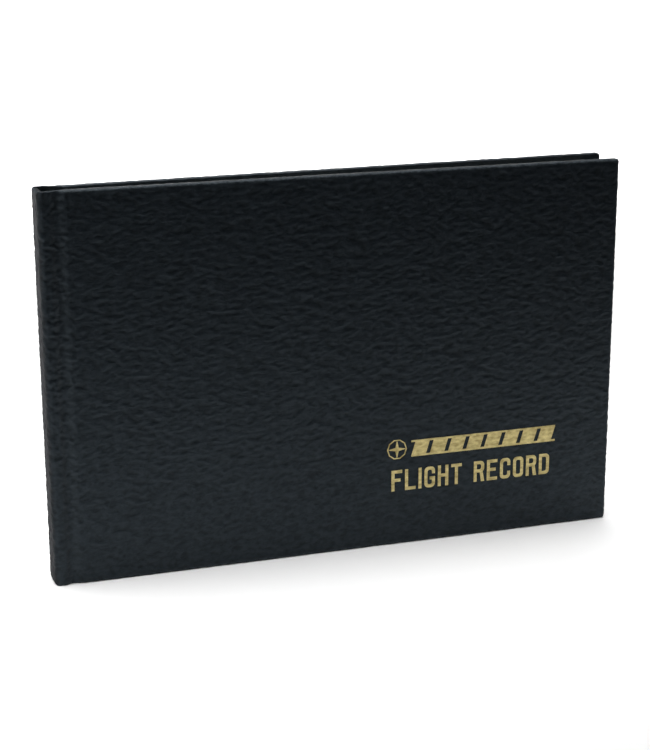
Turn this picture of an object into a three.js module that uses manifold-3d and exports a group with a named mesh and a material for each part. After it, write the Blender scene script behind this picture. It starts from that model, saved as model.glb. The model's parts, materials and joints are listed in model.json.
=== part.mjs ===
// A hardcover logbook that stands on its tail edge, in millimetres.
// +Z runs up the spine and +X from the spine to the fore edge. The front cover faces -Y.
// Every part is laid out in closed-book coordinates, where X is 0 at the outside of the spine,
// Y is 0 in the middle of its width and Z is 0 at the tail. The covers and the leaves are then
// turned about their joints until the book is a little ajar.
import * as THREE from 'three';
import { mergeVertices } from 'three/addons/utils/BufferGeometryUtils.js';
import Module from 'manifold-3d';

const wasm = await Module();
wasm.setup();

// Driving dimensions
const HEIGHT = 133.4; // covers and spine, tail to head
const REACH = 204; // outside of the spine to the fore edge of the covers
const WIDTH = 12; // across the closed book
const AJAR = 0.8; // degrees that each cover stands open from closed
const SQUARE = 3; // how far the covers stand proud of the leaves on three sides
const GAP = 0.05; // room between two glued layers

// Covers: depths are measured in from the outer face
const COVERING = 0.4;
const BOARD = 2.2;
const TURN_IN = 0.35;
const TURN_IN_REACH = 15;
const PASTEDOWN = 0.15;
const PASTEDOWN_INSET = 3.5;
const COVER_EDGE_ROUND = 0.6;
const COVER_CORNER_ROUND = 1.2;
const BOARD_START = 8; // spine-side edge of the covers
const BOARD_DEPTH = COVERING + GAP;
const TURN_IN_DEPTH = BOARD_DEPTH + BOARD + GAP;
const COVERING_DEPTH = TURN_IN_DEPTH + TURN_IN;
const PASTEDOWN_DEPTH = COVERING_DEPTH + GAP;

// Joints: the groove beside the spine, and the line that a cover swings about
const GROOVE_START = 3;
const GROOVE_END = 7.8;
const GROOVE_DIP = 2;
const GROOVE_STEPS = 12;
const HINGE_X = 5.6;
const HINGE_OUT = 0.3; // outside the closed cover's face, so that the cover folds right back

// Spine
const SPINE_CORNER = 1.3;
const SPINE_FLANK_END = 2.8;
const SPINE_ARC_STEPS = 6;
const INLAY = 1.2;
const INLAY_WIDTH = 9.4;
const LINER = 0.2;
const LINER_X = 1.85;
const MULL = 0.25;
const MULL_X = 2.1;
const BACK_WIDTH = 5; // liner, mull and bands, across the back of the leaves
const BACK_INSET = 1; // liner and mull stop this far short of the leaves' head and tail
const BAND_RADIUS = 0.65;
const BAND_SIDES = 10;
const BAND_LIFT = 0.1;
const BAND_X = 2.9;

// Leaves: bound flat from the folds to the gutter, and free to turn past it
const FOLD_X = 2.6;
const GUTTER_X = 9;
const GUTTER_GAP = 0.1;
const SECTIONS = 8;
const SECTION_PITCH = 0.61;
const SECTION_THICKNESS = 0.54;
const BEND_THICKNESS = 0.12; // of a section where it bends
const BEND_TAPER = 5;
const FLYLEAF = 0.15;
const FLYLEAF_START = 9.7; // clear of the section behind it when both have turned
const FLYLEAF_Y = 2.575;
// How far the leaves turn for each degree that their cover turns, from the outside in
const FLYLEAF_RATIO = 0.46;
const SECTION_RATIOS = [0.4, 0.31, 0.22, 0.13];

// Sewing: one thread runs along the outside of the folds and links them at each station
const STATIONS = 5;
const STATION_INSET = 9;
const THREAD = 0.12;
const THREAD_X = 2.4;

// Foil stamp, on the outer face of the front cover
const FOIL = 0.1;
const FOIL_LIFT = 0.02;
const EMBLEM_CENTRE = [121.6, 35.4];
const EMBLEM_RADIUS = 3.7;
const EMBLEM_RING = 0.42;
const EMBLEM_STAR = 3.5; // its points run into the ring
const EMBLEM_WAIST = 0.85;
const BAR_START = 127;
const BAR_END = 182.4;
const BAR_Z = 32.2;
const BAR_HEIGHT = 6;
const BAR_COUNT = 8;
const BAR_SPACE = 1.5;
const BAR_SLANT = 1.6;
const RULE_HEIGHT = 0.7;
const TITLE = 'FLIGHT RECORD';
const TITLE_X = 119.6;
const TITLE_Z = 20;
const LETTER_HEIGHT = 7.7;
const LETTER_WIDTH = 4;
const LETTER_STROKE = 1.15;
const LETTER_SPACE = 1.1;
const WORD_SPACE = 3.6;
const ARC_STEPS = 5;

const FRONT = -1;
const BACK = 1;
const radians = THREE.MathUtils.degToRad;

const LOOKS = {
  leatherette: { color: 0x1f262c, roughness: 0.45, metalness: 0 },
  board: { color: 0x8d877b, roughness: 0.9, metalness: 0 },
  endpaper: { color: 0xe9e4d6, roughness: 0.85, metalness: 0 },
  ledger: { color: 0xeef0e4, roughness: 0.85, metalness: 0 },
  card: { color: 0xb39b73, roughness: 0.9, metalness: 0 },
  cloth: { color: 0xe4e0d2, roughness: 0.95, metalness: 0 },
  band: { color: 0x27364f, roughness: 0.8, metalness: 0 },
  thread: { color: 0xf0ebdc, roughness: 0.8, metalness: 0 },
  foil: { color: 0xb9a468, roughness: 0.35, metalness: 0.9 },
};

const book = new THREE.Group();
book.position.x = -REACH / 2;

function addPart(parent, name, geometry, look) {
  const mesh = new THREE.Mesh(geometry, new THREE.MeshStandardMaterial(LOOKS[look]));
  mesh.name = name;
  parent.add(mesh);
}

// A group whose children keep closed-book coordinates, turned about a vertical line
function turned(x, y, degrees) {
  const pivot = new THREE.Group();
  pivot.position.set(x, y, 0);
  pivot.rotation.z = radians(degrees);
  const inside = new THREE.Group();
  inside.position.set(-x, -y, 0);
  pivot.add(inside);
  book.add(pivot);
  return inside;
}

function slab(x0, x1, y0, y1, z0, z1) {
  const box = new THREE.BoxGeometry(x1 - x0, Math.abs(y1 - y0), z1 - z0);
  return box.translate((x0 + x1) / 2, (y0 + y1) / 2, (z0 + z1) / 2);
}

// Y of a depth below the outer face of one side of the closed book
function inFrom(side, depth) {
  return side * (WIDTH / 2 - depth);
}

// Solids for joining and cutting
function solid(geometry) {
  const bare = geometry.clone();
  bare.deleteAttribute('normal');
  bare.deleteAttribute('uv');
  const merged = mergeVertices(bare, 1e-5);
  return new wasm.Manifold(new wasm.Mesh({
    numProp: 3,
    vertProperties: new Float32Array(merged.attributes.position.array),
    triVerts: new Uint32Array(merged.index.array),
  }));
}

function fromSolid(body) {
  const mesh = body.getMesh();
  const geometry = new THREE.BufferGeometry();
  geometry.setAttribute('position', new THREE.BufferAttribute(new Float32Array(mesh.vertProperties), 3));
  geometry.setIndex(new THREE.BufferAttribute(new Uint32Array(mesh.triVerts), 1));
  return geometry;
}

// Overlapping geometries as one solid
function joined(geometries) {
  return geometries.map(solid).reduce((whole, piece) => whole.add(piece));
}

// A shape drawn in X and Z becomes a plate between two Y values. A bevel grows it sideways.
function plate(shape, y0, y1, bevel = 0) {
  const geometry = new THREE.ExtrudeGeometry(shape, {
    depth: y1 - y0 - 2 * bevel,
    bevelEnabled: bevel > 0,
    bevelThickness: bevel,
    bevelSize: bevel,
    bevelSegments: 3,
    curveSegments: ARC_STEPS,
  });
  return geometry.rotateX(Math.PI / 2).translate(0, y1 - bevel, 0);
}

// A shape drawn in X and Y becomes a column between two Z values
function column(shape, z0, z1) {
  const geometry = new THREE.ExtrudeGeometry(shape, { depth: z1 - z0, bevelEnabled: false });
  return geometry.translate(0, 0, z0);
}

// Rectangle with a radius for each corner: low left, low right, high right, high left
function roundRect(path, x0, y0, x1, y1, radii) {
  const corners = [[x0, y0, 1, 1], [x1, y0, -1, 1], [x1, y1, -1, -1], [x0, y1, 1, -1]];
  const points = corners.flatMap(([x, y, inX, inY], corner) => {
    const r = radii[corner];
    const steps = r > 0 ? ARC_STEPS : 0;
    return Array.from({ length: steps + 1 }, (_, step) => {
      const angle = Math.PI + (Math.PI / 2) * (corner + (steps ? step / steps : 0));
      return new THREE.Vector2(x + r * (inX + Math.cos(angle)), y + r * (inY + Math.sin(angle)));
    });
  });
  return path.setFromPoints(points);
}

// An even strip to the left of a line of points
function ribbon(points, thickness) {
  const inner = points.map((point, i) => {
    const before = points[Math.max(i - 1, 0)];
    const after = points[Math.min(i + 1, points.length - 1)];
    const along = after.clone().sub(before).normalize();
    return new THREE.Vector2(point.x - along.y * thickness, point.y + along.x * thickness);
  });
  return new THREE.Shape([...points, ...inner.reverse()]);
}

function cover(side, label) {
  const group = turned(HINGE_X, side * (WIDTH / 2 + HINGE_OUT), side * AJAR);
  const between = (d0, d1) => [inFrom(side, d0), inFrom(side, d1)].sort((a, b) => a - b);
  const edge = BOARD_DEPTH;

  addPart(group, `${label}_board`, slab(
    BOARD_START + edge, REACH - edge, ...between(BOARD_DEPTH, BOARD_DEPTH + BOARD), edge, HEIGHT - edge,
  ), 'board');

  const b = COVER_EDGE_ROUND;
  const r = COVER_CORNER_ROUND - b;
  const outline = roundRect(new THREE.Shape(), BOARD_START + b, b, REACH - b, HEIGHT - b, [0, r, r, 0]);
  const cavity = slab(
    BOARD_START + COVERING, REACH - COVERING, ...between(COVERING, TURN_IN_DEPTH), COVERING, HEIGHT - COVERING,
  );
  const window = slab(
    BOARD_START + COVERING, REACH - TURN_IN_REACH, ...between(BOARD, COVERING_DEPTH + 1),
    TURN_IN_REACH, HEIGHT - TURN_IN_REACH,
  );
  const block = plate(outline, ...between(0, COVERING_DEPTH), b);
  const shell = solid(block).subtract(solid(cavity)).subtract(solid(window));
  addPart(group, `${label}_covering`, fromSolid(shell), 'leatherette');

  addPart(group, `${label}_pastedown`, slab(
    BOARD_START + 1, REACH - PASTEDOWN_INSET, ...between(PASTEDOWN_DEPTH, PASTEDOWN_DEPTH + PASTEDOWN),
    PASTEDOWN_INSET, HEIGHT - PASTEDOWN_INSET,
  ), 'endpaper');
  return group;
}

// The groove beside the spine: a raised-cosine dip between two flats
function joint(side, label) {
  const points = [];
  for (let i = 0; i <= GROOVE_STEPS; i += 1) {
    const t = i / GROOVE_STEPS;
    const x = GROOVE_START + (GROOVE_END - GROOVE_START) * t;
    const dip = GROOVE_DIP * (0.5 - 0.5 * Math.cos(2 * Math.PI * t));
    points.push(new THREE.Vector2(x, inFrom(side, dip)));
  }
  const path = side === FRONT ? points : points.reverse();
  addPart(book, `${label}_joint`, column(ribbon(path, COVERING), 0, HEIGHT), 'leatherette');
}

function spine() {
  const half = WIDTH / 2;
  const r = SPINE_CORNER;
  const points = [new THREE.Vector2(SPINE_FLANK_END, half)];
  for (const side of [BACK, FRONT]) {
    for (let i = 0; i <= SPINE_ARC_STEPS; i += 1) {
      const angle = (Math.PI / 2) * (side === BACK ? 1 + i / SPINE_ARC_STEPS : 2 + i / SPINE_ARC_STEPS);
      points.push(new THREE.Vector2(r + r * Math.cos(angle), side * (half - r) + r * Math.sin(angle)));
    }
  }
  points.push(new THREE.Vector2(SPINE_FLANK_END, -half));
  addPart(book, 'spine_covering', column(ribbon(points, COVERING), 0, HEIGHT), 'leatherette');

  const start = COVERING + GAP;
  addPart(book, 'spine_inlay', slab(
    start, start + INLAY, -INLAY_WIDTH / 2, INLAY_WIDTH / 2, start, HEIGHT - start,
  ), 'card');

  const low = SQUARE + BACK_INSET;
  const high = HEIGHT - low;
  const halfBack = BACK_WIDTH / 2;
  addPart(book, 'spine_liner', slab(LINER_X, LINER_X + LINER, -halfBack, halfBack, low, high), 'card');
  addPart(book, 'mull', slab(MULL_X, MULL_X + MULL, -halfBack, halfBack, low, high), 'cloth');

  for (const [name, z] of [
    ['tail_band', SQUARE - BAND_LIFT - BAND_RADIUS],
    ['head_band', HEIGHT - SQUARE + BAND_LIFT + BAND_RADIUS],
  ]) {
    const band = new THREE.CylinderGeometry(BAND_RADIUS, BAND_RADIUS, BACK_WIDTH, BAND_SIDES);
    addPart(book, name, band.translate(BAND_X, 0, z), 'band');
  }
}

// Middle of a section
function sectionY(index) {
  return (index - (SECTIONS - 1) / 2) * SECTION_PITCH;
}

function leaves() {
  const low = SQUARE;
  const high = HEIGHT - SQUARE;
  const fore = REACH - SQUARE;
  const boundEnd = GUTTER_X - GUTTER_GAP;
  const half = SECTION_THICKNESS / 2;
  const halfBend = BEND_THICKNESS / 2;
  for (let i = 0; i < SECTIONS; i += 1) {
    const side = i < SECTIONS / 2 ? FRONT : BACK;
    const ratio = SECTION_RATIOS[side === FRONT ? i : SECTIONS - 1 - i];
    const y = sectionY(i);
    const fold = slab(FOLD_X, boundEnd, y - half, y + half, low, high);
    addPart(book, `section_${i + 1}_fold`, fold, 'ledger');
    const shape = new THREE.Shape([
      new THREE.Vector2(GUTTER_X, y - halfBend),
      new THREE.Vector2(GUTTER_X + BEND_TAPER, y - half),
      new THREE.Vector2(fore, y - half),
      new THREE.Vector2(fore, y + half),
      new THREE.Vector2(GUTTER_X + BEND_TAPER, y + half),
      new THREE.Vector2(GUTTER_X, y + halfBend),
    ]);
    const group = turned(GUTTER_X, y, side * ratio * AJAR);
    addPart(group, `section_${i + 1}`, column(shape, low, high), 'ledger');
  }
  for (const [side, label] of [[FRONT, 'front'], [BACK, 'back']]) {
    const y0 = side * FLYLEAF_Y - FLYLEAF / 2;
    const y1 = y0 + FLYLEAF;
    addPart(book, `${label}_flyleaf_hinge`, slab(FOLD_X, boundEnd, y0, y1, low, high), 'endpaper');
    const group = turned(GUTTER_X, side * FLYLEAF_Y, side * FLYLEAF_RATIO * AJAR);
    addPart(group, `${label}_flyleaf`, slab(FLYLEAF_START, fore, y0, y1, low, high), 'endpaper');
  }
}

function sewing() {
  const half = THREAD / 2;
  const low = SQUARE + STATION_INSET;
  const high = HEIGHT - low;
  const strands = [];
  for (let i = 0; i < SECTIONS; i += 1) {
    const y = sectionY(i);
    strands.push(slab(THREAD_X, THREAD_X + THREAD, y - half, y + half, low - half, high + half));
  }
  for (let i = 0; i < STATIONS; i += 1) {
    const z = low + (i / (STATIONS - 1)) * (high - low);
    strands.push(slab(THREAD_X, THREAD_X + THREAD, sectionY(0), sectionY(SECTIONS - 1), z - half, z + half));
  }
  addPart(book, 'sewing_thread', fromSolid(joined(strands)), 'thread');
}

// A shape drawn in X and Z as a piece of foil on the closed front cover
function foil(shape) {
  const face = inFrom(FRONT, 0) - FOIL_LIFT;
  return plate(shape, face - FOIL, face);
}

function foilBar(x0, z0, x1, z1) {
  return foil(roundRect(new THREE.Shape(), x0, z0, x1, z1, [0, 0, 0, 0]));
}

// A four-pointed compass star in a ring
function emblem(group) {
  const [x, z] = EMBLEM_CENTRE;
  const ring = new THREE.Shape();
  ring.absarc(x, z, EMBLEM_RADIUS, 0, Math.PI * 2);
  const hole = new THREE.Path();
  hole.absarc(x, z, EMBLEM_RADIUS - EMBLEM_RING, 0, Math.PI * 2);
  ring.holes.push(hole);
  const points = [];
  for (let i = 0; i < 8; i += 1) {
    const r = i % 2 ? EMBLEM_WAIST : EMBLEM_STAR;
    const angle = (i * Math.PI) / 4;
    points.push(new THREE.Vector2(x + r * Math.cos(angle), z + r * Math.sin(angle)));
  }
  const pieces = [foil(ring), foil(new THREE.Shape(points))];
  addPart(group, 'foil_emblem', fromSolid(joined(pieces)), 'foil');
}

// A row of slanted bars that run between two thin rules
function ornament(group) {
  const pieces = [
    foilBar(BAR_START, BAR_Z, BAR_END, BAR_Z + RULE_HEIGHT),
    foilBar(BAR_START, BAR_Z + BAR_HEIGHT - RULE_HEIGHT, BAR_END, BAR_Z + BAR_HEIGHT),
  ];
  const z0 = BAR_Z + RULE_HEIGHT / 2;
  const z1 = BAR_Z + BAR_HEIGHT - RULE_HEIGHT / 2;
  const step = (BAR_END - BAR_START - BAR_SLANT + BAR_SPACE) / BAR_COUNT;
  for (let i = 0; i < BAR_COUNT; i += 1) {
    const x0 = BAR_START + i * step;
    const x1 = x0 + step - BAR_SPACE;
    pieces.push(foil(new THREE.Shape([
      new THREE.Vector2(x0, z0),
      new THREE.Vector2(x1, z0),
      new THREE.Vector2(x1 + BAR_SLANT, z1),
      new THREE.Vector2(x0 + BAR_SLANT, z1),
    ])));
  }
  addPart(group, 'foil_bars', fromSolid(joined(pieces)), 'foil');
}

// Block capitals, each drawn from its lower left corner
function letterSolid(letter, x, z) {
  const w = LETTER_WIDTH;
  const h = LETTER_HEIGHT;
  const s = LETTER_STROKE;
  const mid = h * 0.52;
  const round = 1.5;
  const bar = (x0, z0, x1, z1) => solid(foilBar(x + x0, z + z0, x + x1, z + z1));
  const bowl = (x0, z0, x1, z1, radii) => {
    const shape = roundRect(new THREE.Shape(), x + x0, z + z0, x + x1, z + z1, radii);
    const inner = radii.map((r) => Math.max(r - s * 0.7, 0));
    shape.holes.push(roundRect(new THREE.Path(), x + x0 + s, z + z0 + s, x + x1 - s, z + z1 - s, inner));
    return solid(foil(shape));
  };
  const leg = () => solid(foil(new THREE.Shape([
    new THREE.Vector2(x + w - s, z),
    new THREE.Vector2(x + w + 0.15, z),
    new THREE.Vector2(x + w - 0.6, z + mid),
    new THREE.Vector2(x + w - 0.6 - s, z + mid),
  ])));
  const stem = () => bar(0, 0, s, h);
  const all = [round, round, round, round];
  switch (letter) {
    case 'F': return stem().add(bar(0, h - s, w, h)).add(bar(0, mid - s / 2, w * 0.85, mid + s / 2));
    case 'E': return stem().add(bar(0, h - s, w, h)).add(bar(0, mid - s / 2, w * 0.85, mid + s / 2))
      .add(bar(0, 0, w, s));
    case 'L': return stem().add(bar(0, 0, w, s));
    case 'I': return stem();
    case 'T': return bar(w / 2 - s / 2, 0, w / 2 + s / 2, h).add(bar(0, h - s, w, h));
    case 'H': return stem().add(bar(w - s, 0, w, h)).add(bar(0, mid - s / 2, w, mid + s / 2));
    case 'O': return bowl(0, 0, w, h, all);
    case 'D': return bowl(0, 0, w, h, [0, round, round, 0]);
    case 'C': return bowl(0, 0, w, h, all).subtract(bar(w / 2, h * 0.36, w + 1, h * 0.64));
    case 'G': return bowl(0, 0, w, h, all).subtract(bar(w / 2, mid, w + 1, h * 0.66))
      .add(bar(w / 2, mid - s, w, mid));
    default: return bowl(0, mid - s / 2, w, h, [0, round, round, 0]).add(stem()).add(leg());
  }
}

function title(group) {
  let x = TITLE_X;
  let count = 0;
  for (const letter of TITLE) {
    if (letter === ' ') {
      x += WORD_SPACE;
    } else {
      count += 1;
      addPart(group, `foil_letter_${count}`, fromSolid(letterSolid(letter, x, TITLE_Z)), 'foil');
      x += (letter === 'I' ? LETTER_STROKE : LETTER_WIDTH) + LETTER_SPACE;
    }
  }
}

const frontCover = cover(FRONT, 'front');
emblem(frontCover);
ornament(frontCover);
title(frontCover);
cover(BACK, 'back');
joint(FRONT, 'front');
joint(BACK, 'back');
spine();
leaves();
sewing();

export default book;
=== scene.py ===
"""Looks of a hardcover logbook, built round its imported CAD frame.

Lengths are in millimetres in closed-book coordinates until a mesh is made: X is 0 at the outside
of the spine, Y is 0 in the middle of its width and Z is 0 at the tail. The closed book is then
settled to its rest pose, a little ajar, and moved into the frame, in metres.
"""
import json
import math

import bmesh
import bpy
import numpy as np
from mathutils import Matrix, Vector, noise

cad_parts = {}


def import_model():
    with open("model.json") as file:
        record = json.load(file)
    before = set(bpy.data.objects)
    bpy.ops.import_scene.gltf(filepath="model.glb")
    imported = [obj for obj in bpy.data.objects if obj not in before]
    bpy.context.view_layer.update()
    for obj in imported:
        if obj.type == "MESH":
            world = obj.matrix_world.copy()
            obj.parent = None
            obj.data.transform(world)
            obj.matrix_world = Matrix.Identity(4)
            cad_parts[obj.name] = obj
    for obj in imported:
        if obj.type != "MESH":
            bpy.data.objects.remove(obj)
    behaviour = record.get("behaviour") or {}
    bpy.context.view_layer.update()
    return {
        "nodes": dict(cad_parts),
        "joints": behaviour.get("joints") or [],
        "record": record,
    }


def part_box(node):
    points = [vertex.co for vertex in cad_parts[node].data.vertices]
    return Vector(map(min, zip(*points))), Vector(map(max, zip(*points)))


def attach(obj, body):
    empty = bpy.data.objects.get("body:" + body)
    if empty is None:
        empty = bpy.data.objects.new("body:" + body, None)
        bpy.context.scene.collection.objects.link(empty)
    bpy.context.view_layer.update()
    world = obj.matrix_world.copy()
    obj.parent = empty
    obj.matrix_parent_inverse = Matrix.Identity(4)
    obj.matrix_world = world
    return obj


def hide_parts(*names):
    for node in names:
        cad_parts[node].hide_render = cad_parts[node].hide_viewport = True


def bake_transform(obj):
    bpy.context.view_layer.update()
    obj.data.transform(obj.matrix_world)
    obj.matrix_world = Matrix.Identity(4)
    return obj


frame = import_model()

MM = 0.001
FRONT, BACK = -1, 1
LABEL = {FRONT: "front", BACK: "back"}

# ---------------------------------------------------------------- frame facts
JOINTS = {j["child"]: j for j in frame["joints"]}
RATIO = {c["joint"]: c["ratio"] for c in frame["record"]["behaviour"]["couplings"]}
AJAR = -JOINTS["front_cover"]["range_deg"][0]
SPINE_LOW, SPINE_HIGH = (np.array(v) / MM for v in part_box("spine_covering"))
OFFSET = SPINE_LOW[0]  # X of the outside of the spine in the frame
HEIGHT = SPINE_HIGH[2] - SPINE_LOW[2]
HALF = SPINE_HIGH[1]  # half the closed book's width


def pivot_of(body):
    """X and Y of a body's hinge line in the closed book, and the sign of its turning."""
    joint = JOINTS[body]
    x, y, _ = (v / MM for v in joint["pos_m"])
    return np.array([x - OFFSET, y]), joint["axis"][2]


def settled(points, body, weight=1.0):
    """Closed-book points turned to the rest pose of a body, by a weight from 0 to 1."""
    (px, py), sign = pivot_of(body)
    ratio = RATIO.get(JOINTS[body]["name"], 1.0)
    angle = sign * math.radians(AJAR) * ratio * np.asarray(weight)
    x, y = points[:, 0] - px, points[:, 1] - py
    out = points.copy()
    out[:, 0] = px + x * np.cos(angle) - y * np.sin(angle)
    out[:, 1] = py + x * np.sin(angle) + y * np.cos(angle)
    return out


def closed_box(node, body):
    """Lowest and highest corner of a CAD node in the closed book."""
    mesh = frame["nodes"][node].data
    co = np.array([v.co for v in mesh.vertices], float) / MM
    co[:, 0] -= OFFSET
    if body in JOINTS:
        co = settled(co, body, -1.0)
    return co.min(0), co.max(0)


COVER_LOW, COVER_HIGH = closed_box("front_covering", "front_cover")
REACH = COVER_HIGH[0]
COVER_THICK = COVER_HIGH[1] - COVER_LOW[1]
BOARD_LOW, BOARD_HIGH = closed_box("front_board", "front_cover")
PASTEDOWN_LOW, PASTEDOWN_HIGH = closed_box("front_pastedown", "front_cover")
FLYLEAF_LOW, FLYLEAF_HIGH = closed_box("front_flyleaf", "front_flyleaf")
FLYLEAF_Y = -(FLYLEAF_LOW[1] + FLYLEAF_HIGH[1]) / 2
PAGE_LOW, PAGE_HIGH = closed_box("section_1", "section_1")
PAGE_TAIL, PAGE_HEAD, PAGE_FORE = PAGE_LOW[2], PAGE_HIGH[2], PAGE_HIGH[0]
FOLD_X = closed_box("section_1_fold", "spine")[0][0]
GUTTER_X = pivot_of("section_1")[0][0]
SECTIONS = range(1, 9)

# ---------------------------------------------------------------- sizes, in mm
# Where the covering and the endpapers bend with a cover, and where the leaves bend
COVER_BEND = (3.0, 8.0)
LEAF_BEND = (8.0, 19.0)

# Covering in section: rounded at the spine's corners, and pressed into a groove beside it
SPINE_RADIUS = 2.2
SPINE_ARCH = 0.2  # how much the back of the spine bows out over its width
CORNER_ANGLES = (math.pi / 2 + 0.11, math.pi - 0.04)  # from the falling side to the arched back
CORNER_POINTS = 13
BACK_POINTS = 24
FLANK_CREST, FLANK_FALL, FLANK_RUN = 4.6, 0.25, 3.0  # the sides of the spine fall away to its back
GROOVE_FLANK, GROOVE_VALLEY, GROOVE_TOP, GROOVE_DEPTH = 3.3, 6.2, 9.5, 1.0
FLAT_START = 10.7  # X where the flat face of a cover starts
OUTLINE_START = COVER_BEND[0] - 0.1
FLANK_BEFORE, FLANK_AFTER = 2.6, 2.4  # the outline's points next to the two corners
OUTLINE_STEP = 0.36

# Mesh of the flat face, and the rings that fold it round the board
FACE_PITCH_U, FACE_PITCH_Z = 0.8, 0.53
EDGE_START = 2.4  # where the flat face gives way to its edge rings
LIP_INSETS = (EDGE_START, 1.9, 1.5, 1.15)
CORNER_RADIUS = 1.2
CORNER_ARCS = 6
RAMP = 40.0  # how far from a corner the mesh lines start to shift towards it
EDGE_ROUND, EDGE_ROUND_SHARE = 0.95, 0.46  # greatest radius, and its share of a thinner edge
OUTER_ARCS, INNER_ARCS = 6, 5
INNER_ROUND_SHARE = 0.8
EDGE_MIDDLE, EDGE_RUN = 0.6, 1.3  # the straight part of the edge, half way and in all
TURN_IN = 15.0
TURN_INSETS = (1.6, 2.6, 4.0, 6.5, 10.0, TURN_IN)
SHEET_END, END_RUN = 0.35, 0.3  # the sheet's thickness at its cut end, and the last ring's step
# How much of the emboss the sheet keeps over the edge, inside it and where it is turned in
EDGE_GRAIN, INSIDE_GRAIN, TURNED_GRAIN = 0.8, 0.6, 0.45
ROUND_WEAR, CREST_WEAR, MIDDLE_WEAR, INSIDE_WEAR = 0.25, 0.75, 0.2, 0.15
WELD = 0.002
FOLDED_THICK = 0.85  # the doubled sheet beside the board
CARD_THICK = 1.25  # what the card adds to it behind the spine
BOARD_RISE_START, BOARD_RISE = 6.5, 1.3
CARD_RISE_END, CARD_RISE, CARD_SIDE = 1.4, 1.2, 0.9

# Emboss: four sets of short ridges, each along its own line, that fade in and out
LEANS = [(math.cos(lean), math.sin(lean)) for lean in (-0.62, -0.2, 0.2, 0.62)]
RIDGE_LONG, RIDGE_WIDE = 2.0, 0.98
RIDGE_GAIN = 1.05
DRIFT_WAVE, DRIFT = (5.0, 4.2), (1.3, 1.0)  # the ridges wander off their lines
SHARE_WAVE, LEAST_SHARE = (11.0, 8.0), 0.05  # over this length one set gives way to another
DRIFT_SEEDS, SHARE_SEED, RIDGE_SEED = (7.4, 19.8), 13.1, 5.3
GRAIN_DEPTH = 0.2  # crease to pad
GRAIN_LEVEL = 0.75  # the grain height that lies on the plain surface
LEATHER_SEED = {FRONT: 11.3, BACK: 47.9}

# Endpapers
PAPER = 0.12
ENDPAPER_FOLD = 3.0
FINE_END = 12.0  # X up to which the pastedown's mesh is fine, past the joint
TURN_IN_STEP = 0.2
TURN_IN_SLOPE = 1.6
STEP_ROWS = 1.5  # the mesh is finer this far to each side of the step
FOLD_CLEAR = 0.1  # between the two halves at their fold
FREE_START, FREE_RISE = 12.0, 30.0  # where the flyleaf starts to wave, and over what length
# Unevenness of each sheet: its height, and its length along X and Z
PASTEDOWN_WAVE, FLYLEAF_WAVE, LEAF_WAVE = (0.04, 31, 23), (0.06, 70, 50), (0.05, 80, 60)
PASTEDOWN_SEED = {FRONT: 3.0, BACK: 9.0}
FLYLEAF_SEED = {FRONT: 21.0, BACK: 27.0}
CREASE_ANGLE = math.radians(50)

# Sections
SHEETS = 3
LEAF_GAP = 0.012
LEAF_TRIM = 0.12
FOLD_POINTS = 7
FAN = 0.09  # how far a section's outer leaves stand apart at the fore edge
FREE_RUN = 60.0  # how far past the bend the leaves start to wave

# Worked bands
THREAD_PITCH = 0.42
TURN_RINGS, BAND_SIDES = 8, 18
WINDING = 0.12  # how far the core dips between turns of thread, as a share of its radius
BAND_END = 0.75

# Boards and card
BEVEL, BEVEL_WIDTH, INNER_BEVEL = 0.18, 0.3, 0.6
CARD, CARD_FACE, CARD_CLEAR = 1.0, 0.55, 0.2
CARD_WAVE, CARD_SEED = (0.05, 2, 6), 4.0


# ---------------------------------------------------------------- mesh helpers
def smooth(t):
    """0 to 1, level at both ends."""
    t = np.clip(t, 0, 1)
    return t * t * (3 - 2 * t)


def bend_weight(x, bend):
    return smooth((x - bend[0]) / (bend[1] - bend[0]))


def spans(*stops):
    """Numbers from stop to stop, each stop given as (value, steps to the next)."""
    values = []
    for (start, steps), (end, _) in zip(stops, stops[1:]):
        values += list(np.linspace(start, end, steps, endpoint=False))
    return np.array(values + [stops[-1][0]])


def waves(a, b, wave, seed):
    """Smooth unevenness at each place of a grid. The wave is its height and two lengths."""
    height, long_a, long_b = wave
    places = zip(a.ravel(), b.ravel())
    values = [noise.noise(Vector((p / long_a, q / long_b, seed))) for p, q in places]
    return height * np.array(values).reshape(a.shape)


def grid_faces(rows, columns, first=0, flip=False):
    """Quads of a grid of points that are numbered row by row from first."""
    faces = []
    for i in range(rows - 1):
        for j in range(columns - 1):
            a = first + i * columns + j
            quad = (a, a + 1, a + columns + 1, a + columns)
            faces.append(quad[::-1] if flip else quad)
    return faces


def sheet_solid(points, normals, thickness):
    """A grid of points (rows, columns, 3) given a thickness: points of both faces, and all faces."""
    rows, columns, _ = points.shape
    top = (points + normals * thickness / 2).reshape(-1, 3)
    low = (points - normals * thickness / 2).reshape(-1, 3)
    count = rows * columns
    faces = grid_faces(rows, columns) + grid_faces(rows, columns, count, flip=True)
    border = [(0, j) for j in range(columns)]
    border += [(i, columns - 1) for i in range(1, rows)]
    border += [(rows - 1, j) for j in range(columns - 2, -1, -1)]
    border += [(i, 0) for i in range(rows - 2, 0, -1)]
    index = [i * columns + j for i, j in border]
    for a, b in zip(index, index[1:] + index[:1]):
        faces.append((b, a, a + count, b + count))
    return np.concatenate([top, low]), faces


def row_normals(points):
    """Normals of a grid whose rows run along X and columns along Z, in the X-Y plane."""
    along = np.gradient(points, axis=0)
    normal = np.stack([-along[..., 1], along[..., 0], np.zeros(along.shape[:2])], -1)
    return normal / np.linalg.norm(normal, axis=-1, keepdims=True)


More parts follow.
